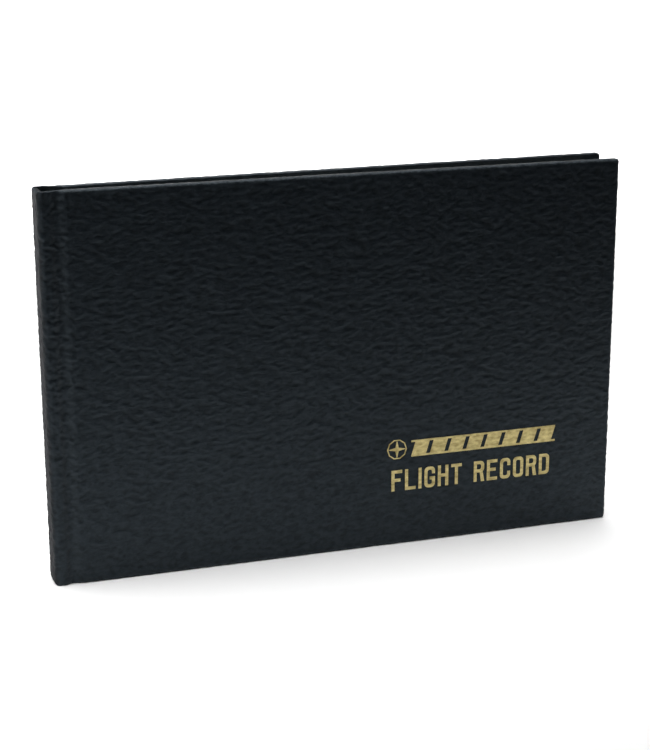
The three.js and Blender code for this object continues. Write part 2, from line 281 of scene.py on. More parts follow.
def make_mesh(name, points, faces, attributes=None, weld=None):
    """Settled book points, in mm, as a smooth-shaded object in the frame, in metres."""
    co = np.array(points, float)
    co[:, 0] += OFFSET
    mesh = bpy.data.meshes.new(name)
    mesh.from_pydata((co * MM).tolist(), [], faces)
    mesh.update()
    for key, values in (attributes or {}).items():
        values = np.asarray(values, np.float32)
        kind, field = ("FLOAT", "value") if values.ndim == 1 else ("FLOAT_VECTOR", "vector")
        mesh.attributes.new(key, kind, "POINT").data.foreach_set(field, values.ravel())
    if weld:
        bm = bmesh.new()
        bm.from_mesh(mesh)
        bmesh.ops.remove_doubles(bm, verts=bm.verts, dist=weld * MM)
        bmesh.ops.recalc_face_normals(bm, faces=bm.faces)
        bm.to_mesh(mesh)
        bm.free()
    mesh.polygons.foreach_set("use_smooth", [True] * len(mesh.polygons))
    obj = bpy.data.objects.new(name, mesh)
    bpy.context.scene.collection.objects.link(obj)
    return obj


def read_points(source, field, count, width):
    """A vertex property as an array with one row for each vertex."""
    values = np.zeros(count * width, np.float32)
    source.foreach_get(field, values)
    return values.reshape(count, width)


def fit_out(obj, material, replaced, body, bend=None):
    """A finished piece's material and slot, and its body if it has no bend. A piece with a bend leaves
    the spine along it and is given no body: its transform is baked in.
    """
    obj.data.materials.append(material)
    if bend:
        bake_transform(obj)
    else:
        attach(obj, body)
    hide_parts(*replaced)


# ---------------------------------------------------------------- node helpers
class Nodes:
    """Short ways to add and link shader nodes. Colours are given as red, green and blue."""

    def __init__(self, tree):
        self.tree = tree

    def add(self, kind, inputs=None, **settings):
        node = self.tree.nodes.new(kind)
        for key, value in settings.items():
            setattr(node, key, value)
        for key, value in (inputs or {}).items():
            self.put(node.inputs[key], value)
        return node

    def put(self, socket, value):
        if isinstance(value, bpy.types.NodeSocket):
            self.tree.links.new(value, socket)
        elif socket.type == "RGBA":
            socket.default_value = (*value, 1.0)
        else:
            socket.default_value = value

    def attribute(self, name, output="Fac"):
        return self.add("ShaderNodeAttribute", attribute_name=name).outputs[output]

    def object_mm(self, scale=(1, 1, 1)):
        """The piece's own coordinates in mm, for pieces that don't bend."""
        place = self.add("ShaderNodeTexCoord").outputs["Object"]
        return self.mapping(place, tuple(v / MM for v in scale))

    def separate(self, vector):
        return self.add("ShaderNodeSeparateXYZ", {0: vector}).outputs

    def math(self, operation, a, b=0.0):
        return self.add("ShaderNodeMath", {0: a, 1: b}, operation=operation).outputs[0]

    def multiply(self, a, b):
        return self.math("MULTIPLY", a, b)

    def mapping(self, vector, scale):
        return self.add("ShaderNodeMapping", {"Vector": vector, "Scale": scale}).outputs[0]

    def noise(self, vector, scale, detail=2.0, roughness=0.5, output="Fac"):
        node = self.add("ShaderNodeTexNoise", {
            "Vector": vector, "Scale": scale, "Detail": detail, "Roughness": roughness})
        return node.outputs[output]

    def map_range(self, value, low, high, to_low, to_high):
        node = self.add("ShaderNodeMapRange", {
            "Value": value, "From Min": low, "From Max": high, "To Min": to_low, "To Max": to_high})
        return node.outputs["Result"]

    def mix(self, factor, a, b):
        node = self.add("ShaderNodeMix", data_type="RGBA")
        self.put(node.inputs["Factor"], factor)
        self.put(node.inputs[6], a)
        self.put(node.inputs[7], b)
        return node.outputs[2]

    def bump(self, height, strength, depth):
        """Normals of a height field, its depth in mm."""
        return self.add("ShaderNodeBump", {
            "Height": height, "Strength": strength, "Distance": depth * MM}).outputs["Normal"]


def new_material(name):
    material = bpy.data.materials.new(name)
    material.use_nodes = True
    tree = material.node_tree
    return material, tree.nodes["Principled BSDF"].inputs, Nodes(tree)


# ---------------------------------------------------------------- leatherette
LEATHER_DEEP, LEATHER_BASE = (0.0014, 0.0023, 0.0038), (0.0021, 0.0033, 0.0054)
# Painted shade: the colour that the creases of the grain are darkened towards
LEATHER_CREASE_SHADE = (0.0008, 0.0012, 0.0018)
LEATHER_SCUFF = (0.045, 0.054, 0.062)
LEATHER_TINT = (0.72, 0.89, 1.0)
SPINE_MIDDLE = 16.1  # from the start of the flat face back to the middle of the spine, along the sheet
SPINE_DULL = (4.2, 6.4)  # from the middle of the spine: dull up to here, and glossy from here


def leather_material():
    """Blue-black embossed leatherette. The flat attribute is the unfolded sheet, in mm."""
    material, shader, n = new_material("leatherette")
    flat = n.attribute("flat", "Vector")
    wear = n.attribute("wear")
    grain = n.attribute("grain")

    # Fine ripples between the ridges of the emboss, and pores
    wobble = n.noise(flat, 0.4, output="Color")
    wobble = n.add("ShaderNodeVectorMath", {0: wobble, "Scale": 2.2}, operation="SCALE").outputs[0]
    warped = n.add("ShaderNodeVectorMath", {0: flat, 1: wobble}, operation="ADD").outputs[0]
    ripple = n.noise(n.mapping(warped, (0.55, 1.0, 0.05)), 0.95)
    pores = n.noise(flat, 3.0, 3.0, 0.6)
    height = n.math("ADD", ripple, n.multiply(pores, 0.22))
    n.put(shader["Normal"], n.bump(height, 1.0, 0.13))

    # Colour: cloudy, with painted shade darkening the creases of the grain, scuffed pale along the
    # edges
    base = n.mix(n.noise(flat, 0.02, 3.0, 0.6), LEATHER_DEEP, LEATHER_BASE)
    # Painted shade in the creases, deepest where the grain is lowest
    base = n.mix(n.map_range(grain, 0.1, 0.55, 0.0, 1.0), LEATHER_CREASE_SHADE, base)
    scuff = n.map_range(n.noise(flat, 0.9, 5.0, 0.7), 0.4, 0.7, 0.1, 1.0)
    n.put(shader["Base Color"], n.mix(n.multiply(wear, scuff), base, LEATHER_SCUFF))

    # Creases are duller than pads, and the back of the spine is handled dull
    from_middle = n.math("ABSOLUTE", n.math("ADD", n.separate(flat)[0], SPINE_MIDDLE))
    spine = n.map_range(from_middle, *SPINE_DULL, 1.0, 0.0)
    rough = n.map_range(n.noise(flat, 0.35, 4.0, 0.6), 0.3, 0.7, 0.34, 0.44)
    rough = n.math("ADD", rough, n.multiply(n.math("MAXIMUM", wear, spine), 0.25))
    n.put(shader["Roughness"], rough)
    gloss = n.map_range(grain, 0.15, 0.75, 0.29, 0.35)
    gloss = n.multiply(gloss, n.map_range(ripple, 0.3, 0.6, 0.8, 1.08))
    gloss = n.multiply(gloss, n.map_range(spine, 0.0, 1.0, 1.0, 0.3))
    n.put(shader["Specular IOR Level"], gloss)
    n.put(shader["Specular Tint"], LEATHER_TINT)
    return material


def grain_height(u, z, seed):
    """Embossed grain of the sheet at flat coordinates in mm: 0 in a crease, 1 on a pad."""
    u_wave, z_wave = u / DRIFT_WAVE[0], z / DRIFT_WAVE[1]
    x = u + DRIFT[0] * noise.noise(Vector((u_wave, z_wave, seed + DRIFT_SEEDS[0])))
    y = z + DRIFT[1] * noise.noise(Vector((u_wave, z_wave, seed + DRIFT_SEEDS[1])))
    total, power = 0.0, 0.0
    for k, (c, s) in enumerate(LEANS):
        place = Vector((u / SHARE_WAVE[0], z / SHARE_WAVE[1], seed + SHARE_SEED * k))
        share = max(LEAST_SHARE, 0.5 + noise.noise(place))
        along, across = (x * c + y * s) / RIDGE_LONG, (-x * s + y * c) / RIDGE_WIDE
        total += share * noise.noise(Vector((along, across, seed + RIDGE_SEED * k)))
        power += share * share
    return max(0.0, min(1.0, 0.5 + RIDGE_GAIN * total / math.sqrt(power)))


def groove_depth(x):
    """How far the covering lies inside the closed book's width, beside the spine."""
    fall = FLANK_FALL * (max(FLANK_CREST - x, 0.0) / FLANK_RUN) ** 2
    if x <= GROOVE_FLANK or x >= GROOVE_TOP:
        return fall
    if x < GROOVE_VALLEY:
        t = (GROOVE_VALLEY - x) / (GROOVE_VALLEY - GROOVE_FLANK)
    else:
        t = (x - GROOVE_VALLEY) / (GROOVE_TOP - GROOVE_VALLEY)
    return fall + GROOVE_DEPTH * (0.5 + 0.5 * math.cos(math.pi * t))


def groove_depths(x):
    """groove_depth at each place of an array."""
    return np.array([groove_depth(v) for v in np.ravel(x)]).reshape(np.shape(x))


def spine_arch(y):
    return SPINE_ARCH * (y / HALF) ** 2


def spine_corner():
    """Points from the crest of one side of the spine round to its back, as X and positive Y."""
    r = SPINE_RADIUS
    start, end = CORNER_ANGLES
    cy = HALF - groove_depth(r) - r * math.sin(start)
    cx = spine_arch(cy + r * math.sin(end)) - r * math.cos(end)
    angles = np.linspace(start, end, CORNER_POINTS)
    return [(cx + r * math.cos(a), cy + r * math.sin(a)) for a in angles]


def case_outline(with_spine):
    """Section of the front half of the case, as X and Y. With the spine, it starts on the far side."""
    points = []
    x = OUTLINE_START
    if with_spine:
        corner = spine_corner()
        edge = corner[-1][1]
        points += [(x, HALF - groove_depth(x)) for x in (OUTLINE_START, FLANK_BEFORE)]
        points += corner
        points += [(spine_arch(y), y) for y in np.linspace(edge, -edge, BACK_POINTS)[1:-1]]
        points += [(x, -y) for x, y in corner[::-1]]
        x = FLANK_AFTER
    while x < FLAT_START:
        points.append((x, groove_depth(x) - HALF))
        x += OUTLINE_STEP
    points.append((FLAT_START, -HALF))
    return np.array(points)


def edge_radius(thickness):
    """Outer rounding of a folded edge."""
    return np.minimum(EDGE_ROUND, EDGE_ROUND_SHARE * thickness)


def edge_profile():
    """The rings that fold the sheet round an edge, from the flat face to the sheet's cut end.

    Each is (inset, depth, run, mask, wear). Inset and depth are functions of the edge's
    thickness: how far the ring lies inside the cover's outline, and behind its outer face. Run is
    how far along the sheet it is from the flat face, and mask how much of the emboss it keeps.
    """
    rings = []
    for a in LIP_INSETS:
        rings.append((lambda t, a=a: a + 0.0 * t, lambda t: 0.0 * t, EDGE_START - a, 1.0, 0.0))
    run = EDGE_START - EDGE_ROUND
    for i in range(OUTER_ARCS + 1):
        f = math.pi / 2 * i / OUTER_ARCS
        rings.append((
            lambda t, f=f: edge_radius(t) * (1 - math.sin(f)),
            lambda t, f=f: edge_radius(t) * (1 - math.cos(f)),
            run + EDGE_ROUND * f, EDGE_GRAIN, ROUND_WEAR + CREST_WEAR * math.sin(2 * f)))
    run += EDGE_ROUND * math.pi / 2
    rings.append((
        lambda t: 0.0 * t, lambda t: 0.5 * t, run + EDGE_MIDDLE, EDGE_GRAIN, MIDDLE_WEAR))
    run += EDGE_RUN
    for i in range(INNER_ARCS + 1):
        f = math.pi / 2 * i / INNER_ARCS
        rings.append((
            lambda t, f=f: INNER_ROUND_SHARE * edge_radius(t) * (1 - math.cos(f)),
            lambda t, f=f: t - INNER_ROUND_SHARE * edge_radius(t) * (1 - math.sin(f)),
            run + INNER_ROUND_SHARE * f, INSIDE_GRAIN, INSIDE_WEAR))
    run += INNER_ROUND_SHARE * math.pi / 2
    for a in TURN_INSETS:
        rings.append((lambda t, a=a: a + 0.0 * t, lambda t: 1.0 * t, run + a, TURNED_GRAIN, 0.0))
    rings.append((
        lambda t: TURN_IN + 0.0 * t, lambda t: t - SHEET_END, run + TURN_IN + END_RUN, 0.0, 0.0))
    return rings


class CaseSheet:
    """The covering of one cover with its joint, and the spine's on one side, as one sheet.

    U is the distance along the sheet from its start to the fore edge.
    """

    def __init__(self, with_spine, seed):
        self.seed = seed
        self.outline = case_outline(with_spine)
        steps = np.hypot(*np.diff(self.outline, axis=0).T)
        self.length = np.concatenate([[0], np.cumsum(steps)])
        self.tangents = np.gradient(self.outline, self.length, axis=0)
        self.tangents /= np.hypot(*self.tangents.T)[:, None]
        self.face_start = self.length[-1]
        self.end = self.face_start + (REACH - FLAT_START)
        face_end = self.end - EDGE_START
        columns = int((face_end - self.face_start) / FACE_PITCH_U)
        rows = int((HEIGHT - 2 * EDGE_START) / FACE_PITCH_Z)
        self.lines_u = np.concatenate([
            self.length[:-1], np.linspace(self.face_start, face_end, columns)])
        self.lines_z = np.linspace(EDGE_START, HEIGHT - EDGE_START, rows)
        self.points, self.flats, self.masks, self.wears = [], [], [], []

    def section_at(self, u):
        """X and Y of the outer face."""
        x = np.interp(u, self.length, self.outline[:, 0]) + np.maximum(u - self.face_start, 0)
        return x, np.interp(u, self.length, self.outline[:, 1])

    def place(self, u, z, depth):
        """A place on the sheet, and a depth behind its outer face, in closed-book coordinates."""
        x, y = self.section_at(u)
        flat = u >= self.face_start
        tx = np.where(flat, 1.0, np.interp(u, self.length, self.tangents[:, 0]))
        ty = np.where(flat, 0.0, np.interp(u, self.length, self.tangents[:, 1]))
        size = np.hypot(tx, ty)
        return np.stack([x - ty / size * depth, y + tx / size * depth, z], -1)

    def thickness(self, u):
        """Thickness of the folded edge along the head and the tail."""
        x, y = self.section_at(u)
        board = smooth((x - BOARD_RISE_START) / BOARD_RISE)
        level = COVER_THICK - groove_depths(x)
        card = smooth((CARD_RISE_END - x) / CARD_RISE)
        card = card * smooth((HALF - CARD_SIDE - np.abs(y)) / CARD_SIDE)
        return FOLDED_THICK + (level - FOLDED_THICK) * board + CARD_THICK * card

    def add(self, u, z, depth, flat_u, flat_z, mask, wear):
        self.points.append(self.place(u, z, depth))
        self.flats.append(np.stack([flat_u, flat_z, np.full(len(u), self.seed)], -1))
        self.masks.append(np.full(len(u), mask))
        self.wears.append(np.full(len(u), wear))
        return len(u)

    def add_face(self):
        grid = np.meshgrid(self.lines_u, self.lines_z, indexing="ij")
        u, z = (v.ravel() for v in grid)
        return self.add(u, z, np.zeros(len(u)), u, z, 1.0, 0.0)

    def add_ring(self, inset, depth, run, mask, wear):
        """One ring from the spine end of the head, round the fore edge, to that of the tail."""
        far_u, far_z = self.end, HEIGHT
        face_u, face_z = far_u - EDGE_START, far_z - EDGE_START
        side = self.thickness(self.lines_u)
        a, b = inset(side), depth(side)
        a1, b1 = float(inset(COVER_THICK)), float(depth(COVER_THICK))
        m1 = max(a1, CORNER_RADIUS)
        rho = max(CORNER_RADIUS - a1, 0.0)

        # Lines near a corner shift towards it, so that they stay square to the edge
        near = np.clip((self.lines_u - (far_u - RAMP)) / (RAMP - EDGE_START), 0, 1)
        u = self.lines_u + near * (EDGE_START - np.maximum(a, CORNER_RADIUS))
        near = np.clip((self.lines_z - (far_z - RAMP)) / (RAMP - EDGE_START), 0, 1)
        near = near - np.clip((RAMP - self.lines_z) / (RAMP - EDGE_START), 0, 1)
        z = self.lines_z + near * (EDGE_START - m1)

        angles = np.linspace(math.pi / 2, 0, CORNER_ARCS + 1)[1:-1]
        c, s = np.cos(angles), np.sin(angles)
        head = (u, far_z - a, b, self.lines_u, face_z + run)
        head_corner = (
            far_u - m1 + rho * c, far_z - m1 + rho * s, b1, face_u + run * c, face_z + run * s)
        fore = (far_u - a1, z[::-1], b1, face_u + run, self.lines_z[::-1])
        c, s = c[::-1], s[::-1]
        tail_corner = (
            far_u - m1 + rho * c, m1 - rho * s, b1, face_u + run * c, EDGE_START - run * s)
        tail = (u[::-1], a[::-1], b[::-1], self.lines_u[::-1], EDGE_START - run)
        parts = [np.broadcast_arrays(*part) for part in (head, head_corner, fore, tail_corner, tail)]
        columns = [np.concatenate([part[i] for part in parts]) for i in range(5)]
        return self.add(*columns, mask, wear)

    def build(self):
        """Points, faces and attributes of the whole sheet."""
        first = self.add_face()
        rings = edge_profile()
        for ring in rings:
            count = self.add_ring(*ring)
        faces = grid_faces(len(self.lines_u), len(self.lines_z))
        faces += grid_faces(len(rings), count, first, flip=True)
        attributes = {
            "flat": np.concatenate(self.flats), "mask": np.concatenate(self.masks),
            "wear": np.concatenate(self.wears)}
        return np.concatenate(self.points), faces, attributes


def emboss(mesh, seed):
    """Store the grain's height on a covering's mesh, and raise and sink its points by it."""
    count = len(mesh.vertices)
    flat = read_points(mesh.attributes["flat"].data, "vector", count, 3)
    mask = read_points(mesh.attributes["mask"].data, "value", count, 1)
    heights = np.array([grain_height(float(u), float(z), seed) for u, z, _ in flat])
    mesh.attributes["grain"].data.foreach_set("value", heights.astype(np.float32))
    normals = read_points(mesh.vertex_normals, "vector", count, 3)
    co = read_points(mesh.vertices, "co", count, 3)
    rise = (heights - GRAIN_LEVEL) * GRAIN_DEPTH * MM * mask[:, 0]
    mesh.vertices.foreach_set("co", (co + normals * rise[:, None]).ravel())
    mesh.update()


def leather_piece(side, material):
    """One side's covering, embossed, settled and bent with its cover."""
    label = LABEL[side]
    body = f"{label}_cover"
    with_spine = side == FRONT
    sheet = CaseSheet(with_spine, LEATHER_SEED[side])
    co, faces, attributes = sheet.build()
    if with_spine:
        # The spine then lies at a negative U, which only this sheet has
        attributes["flat"][:, 0] -= sheet.face_start
    if side == BACK:
        co[:, 1] *= -1
        faces = [face[::-1] for face in faces]
    attributes["grain"] = np.zeros(len(co))
    co = settled(co, body, bend_weight(co[:, 0], COVER_BEND))
    obj = make_mesh(f"{label}_leatherette", co, faces, attributes, weld=WELD)
    emboss(obj.data, LEATHER_SEED[side])
    replaced = [f"{label}_covering", f"{label}_joint"] + (["spine_covering"] if with_spine else [])
    fit_out(obj, material, replaced, body, COVER_BEND)


# ---------------------------------------------------------------- sheets of paper
def endpaper_half(name, side, x, y, z, seed, body, bend, material, replaced):
    """A sheet of paper that bends between the spine and its own body."""
    points = np.stack([x, side * y, z], -1)
    flat = np.stack([x, z, np.full(x.shape, seed)], -1).reshape(-1, 3)
    co, faces = sheet_solid(points, row_normals(points), PAPER)
    co = settled(co, body, bend_weight(co[:, 0], bend))
    obj = make_mesh(name, co, faces, {"flat": np.concatenate([flat, flat])})
    obj.data.set_sharp_from_angle(angle=CREASE_ANGLE)
    fit_out(obj, material, replaced, body, bend)


def pastedown(side, material):
    """The half of an endpaper that is glued down: it crosses the joint and dips inside the turn-ins."""
    step_x, step_z = REACH - TURN_IN, HEIGHT - TURN_IN
    xs = spans((ENDPAPER_FOLD, 30), (FINE_END - STEP_ROWS, 6), (FINE_END + STEP_ROWS, 50),
               (step_x - STEP_ROWS, 6), (step_x + STEP_ROWS, 6), (PASTEDOWN_HIGH[0], 0))
    zs = spans((PASTEDOWN_LOW[2], 5), (TURN_IN - STEP_ROWS, 6), (TURN_IN + STEP_ROWS, 30),
               (step_z - STEP_ROWS, 6), (step_z + STEP_ROWS, 5), (PASTEDOWN_HIGH[2], 0))
    x, z = np.meshgrid(xs, zs, indexing="ij")
    inside = np.minimum.reduce([z - TURN_IN, step_z - z, step_x - x])
    dip = TURN_IN_STEP * smooth(inside / TURN_IN_SLOPE + 0.5)
    folded = FLYLEAF_Y + FOLD_CLEAR
    level = -(PASTEDOWN_LOW[1] + PASTEDOWN_HIGH[1]) / 2
    rise = smooth((x - ENDPAPER_FOLD) / (GROOVE_TOP - ENDPAPER_FOLD))
    wave = waves(x, z, PASTEDOWN_WAVE, PASTEDOWN_SEED[side])
    y = folded + (level - folded + dip + wave) * rise
    label = LABEL[side]
    endpaper_half(f"{label}_pastedown_paper", side, x, y, z, PASTEDOWN_SEED[side], f"{label}_cover",
                  COVER_BEND, material, [f"{label}_pastedown"])


def flyleaf(side, material):
    """The free half of an endpaper."""
    xs = spans((ENDPAPER_FOLD, 6), (LEAF_BEND[0], 22), (LEAF_BEND[1] + 1, 26), (FLYLEAF_HIGH[0], 0))
    zs = spans((PAGE_TAIL, 14), (PAGE_HEAD, 0))
    x, z = np.meshgrid(xs, zs, indexing="ij")
    wave = waves(x, z, FLYLEAF_WAVE, FLYLEAF_SEED[side])
    y = FLYLEAF_Y + wave * smooth((x - FREE_START) / FREE_RISE)
    label = LABEL[side]
    endpaper_half(f"{label}_flyleaf_paper", side, x, y, z, FLYLEAF_SEED[side], f"{label}_flyleaf",
                  LEAF_BEND, material, [f"{label}_flyleaf", f"{label}_flyleaf_hinge"])


def folded_line(middle, offset, radius, out):
    """Section of a folded sheet: in along one leaf, round the fold and out along the other."""
    line = [(x, middle - offset) for x in out[::-1]]
    for a in np.linspace(-math.pi / 2, -3 * math.pi / 2, FOLD_POINTS)[1:-1]:
        line.append((FOLD_X + radius + offset * math.cos(a), middle + offset * math.sin(a)))
    return np.array(line + [(x, middle + offset) for x in out])


def section(index, material):
    """A sewn section: three folded sheets, one inside the other, six leaves in all."""
    body = f"section_{index}"
    low, high = closed_box(body, body)
    middle, half = (low[1] + high[1]) / 2, (high[1] - low[1]) / 2
    pitch = half / SHEETS
    out = spans((FOLD_X + half, 5), (LEAF_BEND[0], 18), (LEAF_BEND[1] + 1, 14), (PAGE_FORE, 0))
    zs = spans((PAGE_TAIL, 8), (PAGE_HEAD, 0))
    all_points, all_flat, all_faces = [], [], []
    first = 0
    for k in range(SHEETS):
        line = folded_line(middle, pitch * (k + 0.5), half, out)
        x, z = np.meshgrid(line[:, 0], zs, indexing="ij")
        y = np.repeat(line[:, 1:], len(zs), 1)
        wave = waves(x, z, LEAF_WAVE, index + 0.3 * k)
        spread = FAN * (k + 1) / SHEETS * np.clip((x - GUTTER_X) / (PAGE_FORE - GUTTER_X), 0, 1)
        y = y + smooth((x - LEAF_BEND[0]) / FREE_RUN) * wave + np.sign(y - middle) * spread
        trim = LEAF_TRIM * noise.noise(Vector((index * 3.7, k * 5.1, 0.4)))
        x = x + np.where(x > PAGE_FORE - 1, trim, 0.0)
        points = np.stack([x, y, z], -1)
        co, faces = sheet_solid(points, row_normals(points), pitch - LEAF_GAP)
        leaf = np.where(np.arange(len(line)) < len(line) / 2, -1.0, 1.0)[:, None] * np.ones(x.shape)
        flat = np.stack([x, z, leaf * (index + 0.1 * k)], -1).reshape(-1, 3)
        all_points.append(co)
        all_flat += [flat, flat]
        all_faces += [tuple(v + first for v in face) for face in faces]
        first += len(co)
    co = np.concatenate(all_points)
    co = settled(co, body, bend_weight(co[:, 0], LEAF_BEND))
    obj = make_mesh(f"{body}_leaves", co, all_faces, {"flat": np.concatenate(all_flat)})
    obj.data.set_sharp_from_angle(angle=CREASE_ANGLE)
    fit_out(obj, material, [body, f"{body}_fold"], body, LEAF_BEND)


PAPER_FIBRE_STRETCH = (0.6, 1.4, 1.0)
ENDPAPER_COLOURS = ((0.71, 0.67, 0.56), (0.80, 0.77, 0.68))
LEDGER_COLOURS = ((0.76, 0.76, 0.67), (0.83, 0.83, 0.76))
COLUMN_TINT, HEADING_TINT, RULE_INK = (0.56, 0.70, 0.55), (0.40, 0.56, 0.44), (0.12, 0.26, 0.20)
# The ruled table of a ledger page, from the outside of the spine and from the tail
TABLE_LEFT, TABLE_RIGHT = 18.0, 186.0
TABLE_FOOT, HEADING_FOOT, TABLE_TOP = 12.0, 114.0, 120.0
ROW_PITCH, COLUMN_PITCH, HEAVY_EVERY = 6.0, 12.0, 4
RULE_WIDTH, HEAVY_WIDTH = 0.22, 0.5
TABLE_MARGIN, RIGHT_MARGIN = 0.2, 0.3


def ruled(n, flat, colour):
    """Green rules, a tint in every other column and a darker heading row."""
    x, z, _ = n.separate(flat)

    def lines(value, pitch, width, phase):
        shifted = n.math("DIVIDE", n.math("SUBTRACT", value, phase), pitch)
        return n.math("LESS_THAN", n.math("PINGPONG", shifted, 0.5), width / pitch / 2)

    def within(value, low, high):
        return n.multiply(n.math("GREATER_THAN", value, low), n.math("LESS_THAN", value, high))

    table = n.multiply(within(x, TABLE_LEFT - TABLE_MARGIN, TABLE_RIGHT + RIGHT_MARGIN),
                       within(z, TABLE_FOOT - TABLE_MARGIN, TABLE_TOP + TABLE_MARGIN))
    rows = n.multiply(lines(z, ROW_PITCH, RULE_WIDTH, TABLE_FOOT),
                      within(z, TABLE_FOOT - TABLE_MARGIN, HEADING_FOOT + TABLE_MARGIN))
    columns = lines(x, COLUMN_PITCH, RULE_WIDTH, TABLE_LEFT)
    heavy = lines(x, COLUMN_PITCH * HEAVY_EVERY, HEAVY_WIDTH, TABLE_LEFT)
    ink = n.math("MAXIMUM", n.math("MAXIMUM", rows, columns), heavy)
    column = n.math("DIVIDE", n.math("SUBTRACT", x, TABLE_LEFT), COLUMN_PITCH)
    tint = n.multiply(table, n.math("GREATER_THAN", n.math("PINGPONG", column, 1.0), 0.5))
    heading = n.multiply(table, n.math("GREATER_THAN", z, HEADING_FOOT))
    colour = n.mix(n.multiply(tint, 0.35), colour, COLUMN_TINT)
    colour = n.mix(n.multiply(heading, 0.5), colour, HEADING_TINT)
    return n.mix(n.multiply(n.math("MINIMUM", ink, table), 0.75), colour, RULE_INK)


def paper_material(name, colours, with_rules):
    """Fibrous paper. The flat attribute is the sheet, in mm."""
    material, shader, n = new_material(name)
    flat = n.attribute("flat", "Vector")
    fibres = n.noise(n.mapping(flat, PAPER_FIBRE_STRETCH), 2.6, 5.0, 0.65)
    cloud = n.noise(flat, 0.05, 3.0)
    colour = n.mix(n.multiply(n.math("ADD", fibres, cloud), 0.5), *colours)
    if with_rules:
        colour = ruled(n, flat, colour)
    n.put(shader["Base Color"], colour)
    n.put(shader["Roughness"], n.map_range(fibres, 0.3, 0.7, 0.72, 0.86))
    n.put(shader["Specular IOR Level"], 0.25)
    n.put(shader["Normal"], n.bump(fibres, 0.5, 0.03))
    return material


# ---------------------------------------------------------------- worked bands
BAND_DARK, BAND_LIGHT, BAND_FUZZ = (0.012, 0.022, 0.06), (0.36, 0.34, 0.28), (0.1, 0.1, 0.12)


def band_material():
    """Thread in two colours, one for each turn."""
    material, shader, n = new_material("band_thread")
    fuzz = n.noise(n.mapping(n.object_mm(), (1.0, 4.0, 1.0)), 5.0, 4.0, 0.6)
    colour = n.mix(n.attribute("stripe"), BAND_DARK, BAND_LIGHT)
    n.put(shader["Base Color"], n.mix(n.multiply(fuzz, 0.35), colour, BAND_FUZZ))
    n.put(shader["Roughness"], n.map_range(fuzz, 0.3, 0.7, 0.55, 0.75))
    n.put(shader["Normal"], n.bump(fuzz, 0.7, 0.05))
    return material


def band(node, material):
    """A worked band: a core wound with two colours of thread."""
    low, high = closed_box(node, "spine")
    middle = (low + high) / 2
    radius = (high[0] - low[0]) / 2
    turns = int((high[1] - low[1]) / THREAD_PITCH)
    rings = turns * TURN_RINGS + 1
    points, stripe = [], []
    for i in range(rings):
        t = i / (rings - 1)
        phase = t * turns
        r = radius * (1 - WINDING + WINDING * abs(math.sin(math.pi * phase)))
        if i in (0, rings - 1):
            r *= BAND_END
        for j in range(BAND_SIDES):
            a = 2 * math.pi * j / BAND_SIDES
            y = low[1] + t * (high[1] - low[1])
            points.append((middle[0] + r * math.cos(a), y, middle[2] + r * math.sin(a)))
            stripe.append(float(int(phase + 1e-6) % 2))
    faces = []
    for i in range(0, (rings - 1) * BAND_SIDES, BAND_SIDES):
        for j in range(BAND_SIDES):
            k = (j + 1) % BAND_SIDES
            faces.append((i + j, i + BAND_SIDES + j, i + BAND_SIDES + k, i + k))
    faces.append(tuple(range(BAND_SIDES)))
    faces.append(tuple(range((rings - 1) * BAND_SIDES, rings * BAND_SIDES))[::-1])
    obj = make_mesh(f"{node}_wound", points, faces, {"stripe": stripe})
    fit_out(obj, material, [node], "spine")


# ---------------------------------------------------------------- boards and spine card
def board(side, material):
    """Grey board, its outer edge beside the joint pressed down under the covering."""
    low, high = BOARD_LOW, BOARD_HIGH
    xs = spans((low[0], 12), (GROOVE_TOP, 40), (high[0] - BEVEL_WIDTH, 2), (high[0], 0))
    zs = spans((low[2], 2), (low[2] + BEVEL_WIDTH, 30), (high[2] - BEVEL_WIDTH, 2), (high[2], 0))
    x, z = np.meshgrid(xs, zs, indexing="ij")
    edge = np.minimum.reduce([x - low[0], high[0] - x, z - low[2], high[2] - z])
    bevel = BEVEL * (1 - np.clip(edge / BEVEL_WIDTH, 0, 1)) ** 2
    outer = -low[1] - bevel - groove_depths(x)
    inner = -high[1] + bevel * INNER_BEVEL
    points = np.stack([x, side * (outer + inner) / 2, z], -1)
    normals = np.stack([0 * x, side + 0 * x, 0 * x], -1)
    co, faces = sheet_solid(points, normals, (outer - inner)[..., None])
    if side == FRONT:
        faces = [face[::-1] for face in faces]
    body = f"{LABEL[side]}_cover"
    obj = make_mesh(f"{LABEL[side]}_greyboard", settled(co, body), faces)
    obj.data.set_sharp_from_angle(angle=CREASE_ANGLE)
    fit_out(obj, material, [f"{LABEL[side]}_board"], body)


def spine_card(material):
    """Card strip inside the covering of the spine, bowed with it."""
    low, high = closed_box("spine_inlay", "spine")
    half = HALF - SPINE_RADIUS - CARD_CLEAR
    y, z = np.meshgrid(spans((-half, 14), (half, 0)), spans((low[2], 30), (high[2], 0)), indexing="ij")
    ragged = waves(y, z, CARD_WAVE, CARD_SEED)
    x = spine_arch(y) + CARD_FACE + CARD / 2 + ragged
    normals = np.stack([1 + 0 * x, 0 * x, 0 * x], -1)
    co, faces = sheet_solid(np.stack([x, y, z], -1), normals, CARD)
    obj = make_mesh("spine_card", co, faces)
    obj.data.set_sharp_from_angle(angle=CREASE_ANGLE)
    fit_out(obj, material, ["spine_inlay"], "spine")


def fibrous_material(name, dark, light, scale, rough, depth, stretch=(1, 1, 1)):
    """Fibrous finish placed by the piece's own coordinates, in mm."""
    material, shader, n = new_material(name)
    place = n.object_mm(stretch)
    fine = n.noise(place, scale, 4.0, 0.6)
    broad = n.noise(place, scale * 0.12, 3.0)
    n.put(shader["Base Color"], n.mix(n.multiply(n.math("ADD", fine, broad), 0.5), dark, light))
    n.put(shader["Roughness"], n.map_range(fine, 0.3, 0.7, rough - 0.07, rough + 0.07))
    n.put(shader["Normal"], n.bump(fine, 0.6, depth))
    return material


